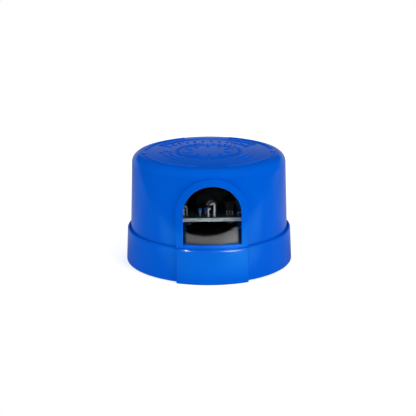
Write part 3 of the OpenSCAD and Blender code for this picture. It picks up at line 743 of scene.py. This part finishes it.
def make_panel():
    """Panel below the window with rounded edges and a groove at the frame's foot."""
    profile = [(PANEL_BACK_R, 0)] + ledge_profile(PANEL_R, PANEL_TOP_R)
    profile += groove_profile(DOME_LOW_R + FRAME_PROUD, FRAME_GROOVE_DEPTH)
    profile += [(PANEL_BACK_R, SKIRT_H - FRAME_GROOVE_DEPTH)]
    flat = FRAME_HALF - PANEL_EDGE
    side = [(x, r - PANEL_EDGE) for x, r in arc((flat, 0), PANEL_EDGE, QUARTER, 0, PANEL_EDGE_STEPS)]
    columns = [(-x, back) for x, back in side[::-1]] + [(-flat + SUPPORT, 0)]
    columns += [(x, 0) for x in spread(-flat + PANEL_MARGIN, flat - PANEL_MARGIN, PANEL_STEPS)]
    columns += [(flat - SUPPORT, 0)] + side
    skin = Skin()
    skin.drum([[on_front(x, max(z, PANEL_LIFT), max(r + back, PANEL_BACK_R)) for r, z in profile]
               for x, back in columns])
    return skin.build("panel_tool")


def make_recess():
    """Tool that hollows the panel from behind."""
    back_r = PANEL_BACK_R - RECESS_BEHIND
    section = [(back_r, -RECESS_BELOW), (PANEL_IN_R, -RECESS_BELOW), (PANEL_IN_R, SEAT_Z), (back_r, SEAT_Z)]
    across = spread(-PANEL_IN_HALF, PANEL_IN_HALF, RECESS_STEPS)
    skin = Skin()
    skin.drum([[on_front(x, z, r) for r, z in section] for x in across])
    return skin.build("recess_tool")


def add_nubs(skin):
    """Wedges inside the skirt that hold the base plate."""
    low = FLANGE_UNDER - NUB_H
    wall_r = SKIRT_IN_R + BURIED
    tip_r = SKIRT_IN_R - NUB_REACH
    foot = low - BURIED * NUB_SLOPE_H / NUB_REACH
    section = [(wall_r, foot), (tip_r, low + NUB_SLOPE_H), (tip_r, FLANGE_UNDER), (wall_r, FLANGE_UNDER)]
    for middle in full_turn(NUB_COUNT):
        angles = spread(middle - NUB_SPAN / 2, middle + NUB_SPAN / 2, NUB_STEPS)
        skin.drum([[(*polar(r, a), z) for r, z in section] for a in angles])


def add_strip(skin, path, width, height):
    """Raised strip on the crown along a path of points, with rounded upper edges."""
    half = width / 2
    edge = min(MARK_EDGE, height / 2)
    section = [(half, -BURIED)]
    section += arc((half - edge, height - edge), edge, 0, QUARTER, MARK_EDGE_STEPS)
    section += arc((edge - half, height - edge), edge, QUARTER, math.pi, MARK_EDGE_STEPS)
    section += [(-half, -BURIED)]
    rows = []
    for i, (x, y) in enumerate(path):
        before = Vector(path[max(i - 1, 0)])
        after = Vector(path[min(i + 1, len(path) - 1)])
        along = (after - before).normalized()
        normal = Vector((-along.y, along.x))
        places = [(Vector((x, y)) + normal * across, up) for across, up in section]
        rows.append([(place.x, place.y, crown_z(place.length) + up) for place, up in places])
    skin.drum(rows)


def add_arc(skin, r, start, end, width, height):
    """Raised strip on the crown along an arc."""
    add_strip(skin, [polar(r, a) for a in spread(start, end, ARC_STEPS)], width, height)


def add_ring(skin):
    """Raised ring on the crown in four arcs, with a dot in each side gap."""
    back = (RIDGE_SIDE_GAP / 2, QUARTER - RIDGE_BACK_GAP / 2)
    front = (-RIDGE_SIDE_GAP / 2, RIDGE_FRONT_GAP / 2 - QUARTER)
    for start, end in (back, front):
        add_arc(skin, RIDGE_R, start, end, RIDGE_W, RIDGE_H)
        add_arc(skin, RIDGE_R, math.pi - start, math.pi - end, RIDGE_W, RIDGE_H)
    low = crown_z(RIDGE_R) - BURIED
    top = crown_z(RIDGE_R) + RIDGE_H
    section = [(DOT_R, low)]
    section += arc((DOT_R - MARK_EDGE, top - MARK_EDGE), MARK_EDGE, 0, QUARTER, MARK_EDGE_STEPS)
    for side in (-1, 1):
        x = side * RIDGE_R * math.cos(DOT_TURN)
        y = -RIDGE_R * math.sin(DOT_TURN)
        skin.drum([[(x + px, y + py, z) for px, py, z in row]
                   for row in turned(section, full_turn(DOT_STEPS))])


def add_marks(skin):
    """Generic marks on the crown: a twist arrow on each side and a scale of ticks at the back."""
    for head in (ARROW_RIGHT, ARROW_LEFT):
        for r in (ARROW_R - ARROW_HALF, ARROW_R + ARROW_HALF):
            add_arc(skin, r, head + ARROW_SPAN, head + ARROW_HEAD * SHAFT_END, LINE_W, MARK_H)
        for reach in (-2 * ARROW_HALF, 2 * ARROW_HALF):
            shares = spread(HEAD_START, 1, HEAD_STEPS)
            barb = [polar(ARROW_R + reach * share, head + ARROW_HEAD * share) for share in shares]
            add_strip(skin, barb, LINE_W, MARK_H)
    for i in range(-TICK_COUNT, TICK_COUNT + 1):
        angle = QUARTER + i * TICK_STEP
        inner = TICK_R - (TICK_SHORT if i % TICK_GROUP else TICK_LONG)
        add_strip(skin, [polar(r, angle) for r in spread(inner, TICK_R, TICK_STEPS)], LINE_W, MARK_H)
    half_scale = TICK_COUNT * TICK_STEP
    add_arc(skin, TICK_R + 2 * LINE_W, QUARTER - half_scale, QUARTER + half_scale, LINE_W, MARK_H)


def add_number(skin, value, height, r, angle):
    """Raised plain number on the crown, with its top towards the rim."""
    curve = bpy.data.curves.new("number", "FONT")
    curve.body = str(value)
    curve.size = height / CAP_HEIGHT
    curve.align_x = "CENTER"
    curve.align_y = "CENTER"
    curve.resolution_u = NUMBER_STEPS
    curve.extrude = (MARK_H + BURIED) / 2
    sign = bpy.data.objects.new("number", curve)
    SCENE.collection.objects.link(sign)
    shape = bmesh.new()
    shape.from_mesh(finished_mesh(sign))
    bmesh.ops.remove_doubles(shape, verts=shape.verts, dist=NUMBER_MERGE)
    bmesh.ops.recalc_face_normals(shape, faces=shape.faces)
    turn = Matrix.Rotation(angle - QUARTER, 2)
    start = len(skin.points)
    for corner in shape.verts:
        place = Vector(polar(r, angle)) + turn @ corner.co.to_2d()
        lift = corner.co.z + (MARK_H - BURIED) / 2
        skin.points.append((place.x, place.y, crown_z(place.length) + lift))
    for face in shape.faces:
        skin.faces.append([start + corner.index for corner in face.verts])
    shape.free()
    bpy.data.objects.remove(sign)


def add_numbers(skin):
    """Plain numbers of a date dial: months along the scale, then days and years round the middle."""
    for month, angle in enumerate(spread(QUARTER + MONTH_SPAN, QUARTER - MONTH_SPAN, MONTHS - 1), 1):
        add_number(skin, month, MONTH_H, MONTH_R, angle)
    for day in range(DAYS):
        add_number(skin, day + 1, DAY_H, DAY_R, QUARTER - math.tau * day / DAYS)
    for year in range(YEARS):
        add_number(skin, year, YEAR_H, YEAR_R, QUARTER - math.tau * year / YEARS)
    add_arc(skin, DIAL_RING_R, FRONT + DIAL_GAP, FRONT + math.tau - DIAL_GAP, DIAL_RING_W, MARK_H)


def polish_edge(cover, finish):
    """Clear white gloss on the rounded edge of the ledge below the window."""
    cover.data.materials.append(finish.material)
    polished = len(cover.data.materials) - 1
    for face in cover.data.polygons:
        x, y, z = face.center / MM
        below_window = abs(x) < FRAME_HALF and y < 0 and math.hypot(x, y) > DOME_LOW_R
        on_ledge = SKIRT_H - LEDGE_ROUND < z < SKIRT_H + SUPPORT
        if below_window and on_ledge and EDGE_TILT[0] < face.normal.z < EDGE_TILT[1]:
            face.material_index = polished


def make_cover(finish, edge_finish):
    """Moulded cover with rounded edges in place of the plain solid."""
    cover = make_body()
    combine(cover, make_pocket(), "DIFFERENCE")
    combine(cover, make_frame(), "UNION")
    combine(cover, make_panel(), "UNION")
    combine(cover, make_recess(), "DIFFERENCE")
    relief = Skin()
    add_nubs(relief)
    add_ring(relief)
    add_marks(relief)
    add_numbers(relief)
    combine(cover, relief.build("relief_tool"), "UNION")
    smooth(cover, finish)
    polish_edge(cover, edge_finish)
    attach(cover, "root")
    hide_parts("cover")


def area_light(name, place, aim, size, power):
    """Soft box at a place, aimed at a point."""
    data = bpy.data.lights.new(name, "AREA")
    data.shape = "RECTANGLE"
    data.size = size[0]
    data.size_y = size[1]
    data.energy = power
    light = bpy.data.objects.new(name, data)
    direction = Vector(aim) - Vector(place)
    light.rotation_euler = direction.to_track_quat("-Z", "Y").to_euler()
    light.location = place
    SCENE.collection.objects.link(light)
    return light


def make_lights():
    """Soft boxes at both sides and behind, and lamps that the edges below the window mirror."""
    for name, (place, power) in SOFT_BOXES.items():
        soft_box = area_light(name, place, SOFT_BOX_AIM, SOFT_BOX_SIZE, power)
        soft_box.visible_glossy = False
    for i, (x, power) in enumerate(GLINTS.items()):
        edge = Vector(on_front(x, SILL_Z, dome_r(SILL_Z) + FRAME_PROUD)) * MM
        outward = Vector((edge.x, edge.y, 0.0)).normalized()
        normal = outward * math.cos(GLINT_TILT) + UP * math.sin(GLINT_TILT)
        view = (SCENE.camera.matrix_world.translation - edge).normalized()
        away = -view.reflect(normal)
        glint = area_light(f"glint_{i}", edge + away * GLINT_REACH, edge, GLINT_SIZE, power)
        glint.data.spread = GLINT_SPREAD
        glint.visible_diffuse = False


def make_world():
    """White for the camera, soft ambient light, and a backdrop, a ceiling and a ground for gloss."""
    world = bpy.data.worlds.new("studio")
    SCENE.world = world
    world.use_nodes = True
    tree = world.node_tree
    background = tree.nodes["Background"]
    background.inputs["Color"].default_value = WHITE
    path = tree.nodes.new("ShaderNodeLightPath").outputs
    split = tree.nodes.new("ShaderNodeSeparateXYZ")
    tree.links.new(tree.nodes.new("ShaderNodeTexCoord").outputs["Generated"], split.inputs["Vector"])
    y = split.outputs["Y"]
    z = split.outputs["Z"]
    behind = smooth_step(tree, y, *BACKDROP_Y)
    low = smooth_step(tree, z, *BACKDROP_Z)
    backdrop = product(tree, behind, low, BACKDROP_GLOW)
    above = smooth_step(tree, z, *CEILING_Z)
    ahead = smooth_step(tree, y, *CEILING_Y)
    ceiling = product(tree, above, ahead, CEILING_GLOW)
    ground = product(tree, smooth_step(tree, z, *BELOW_Z), BELOW_GLOW)
    studio = calculate(tree, "MAXIMUM", calculate(tree, "MAXIMUM", backdrop, ceiling), ground)
    shiny = calculate(tree, "ADD", path["Is Glossy Ray"], path["Is Transmission Ray"])
    gloss = product(tree, studio, shiny)
    diffuse = product(tree, path["Is Diffuse Ray"], AMBIENT)
    lit = calculate(tree, "ADD", gloss, diffuse)
    strength = calculate(tree, "ADD", path["Is Camera Ray"], lit)
    tree.links.new(calculate(tree, "MINIMUM", strength, 1.0), background.inputs["Strength"])


def table_finish():
    """White table that glows a little, is shaded where gloss sees it and is clear from below."""
    finish = Finish("floor_pale", TABLE_TONE, TABLE_ROUGHNESS)
    finish.set("Specular IOR Level", 0.0)
    finish.set("Emission Color", WHITE)
    tree = finish.tree
    path = finish.node("ShaderNodeLightPath").outputs
    camera = path["Is Camera Ray"]
    glossy = path["Is Glossy Ray"]
    seen = calculate(tree, "ADD", calculate(tree, "ADD", camera, glossy), path["Is Transmission Ray"])
    place = finish.split(finish.place)
    aside = calculate(tree, "ABSOLUTE", calculate(tree, "SUBTRACT", place["X"], TABLE_CENTRE[0]))
    middle = calculate(tree, "MAXIMUM", smooth_step(tree, aside, *GLOW_REACH), camera)
    wide = product(tree, calculate(tree, "MINIMUM", seen, 1.0), middle, TABLE_GLOW)
    reach = finish.node("ShaderNodeVectorMath", operation="DISTANCE")
    finish.link(finish.place, reach.inputs[0])
    reach.inputs[1].default_value = HOT_SPOT
    hot = product(tree, smooth_step(tree, reach.outputs["Value"], *HOT_REACH), HOT_GLOW, glossy)
    beside = product(tree, smooth_step(tree, place["Y"], *SIDE_SHADE_Y), SIDE_SHADE)
    behind = product(tree, smooth_step(tree, place["Y"], *BEHIND_Y), BEHIND_EASE)
    shade = product(tree, calculate(tree, "SUBTRACT", beside, behind), glossy)
    bright = calculate(tree, "SUBTRACT", 1.0, shade)
    glow = calculate(tree, "ADD", product(tree, wide, bright), hot)
    finish.link(glow, finish.shader.inputs["Emission Strength"])
    finish.paint(finish.mixed(shade, TABLE_TONE, BLACK))
    sides = finish.node("ShaderNodeMixShader")
    finish.link(finish.node("ShaderNodeNewGeometry").outputs["Backfacing"], sides.inputs["Fac"])
    finish.link(finish.shader.outputs["BSDF"], sides.inputs[1])
    finish.link(finish.node("ShaderNodeBsdfTransparent").outputs["BSDF"], sides.inputs[2])
    finish.link(sides.outputs["Shader"], tree.nodes["Material Output"].inputs["Surface"])
    return finish


def make_floor():
    """Round white table that keeps the object's shadow."""
    turns = full_turn(TABLE_STEPS)
    level = -TABLE_DROP / MM
    hole = [(*polar(TABLE_HOLE / MM, a), level) for a in turns]
    rim = [(x + TABLE_CENTRE[0] / MM, y + TABLE_CENTRE[1] / MM, level)
           for x, y in (polar(TABLE_RADIUS / MM, a) for a in turns)]
    skin = Skin()
    skin.grid([rim, hole])
    floor = skin.build("floor")
    floor.data.materials.append(table_finish().material)


make_camera()
make_world()
make_floor()
make_lights()
FINISHES = make_finishes()
dress_nodes(FINISHES)
make_cover(FINISHES["cover_blue"], FINISHES["polished_edge"])
for see_through in ("window_lens", "sensor_body"):
    NODES[see_through].visible_shadow = False
SCENE.view_settings.view_transform = "Standard"
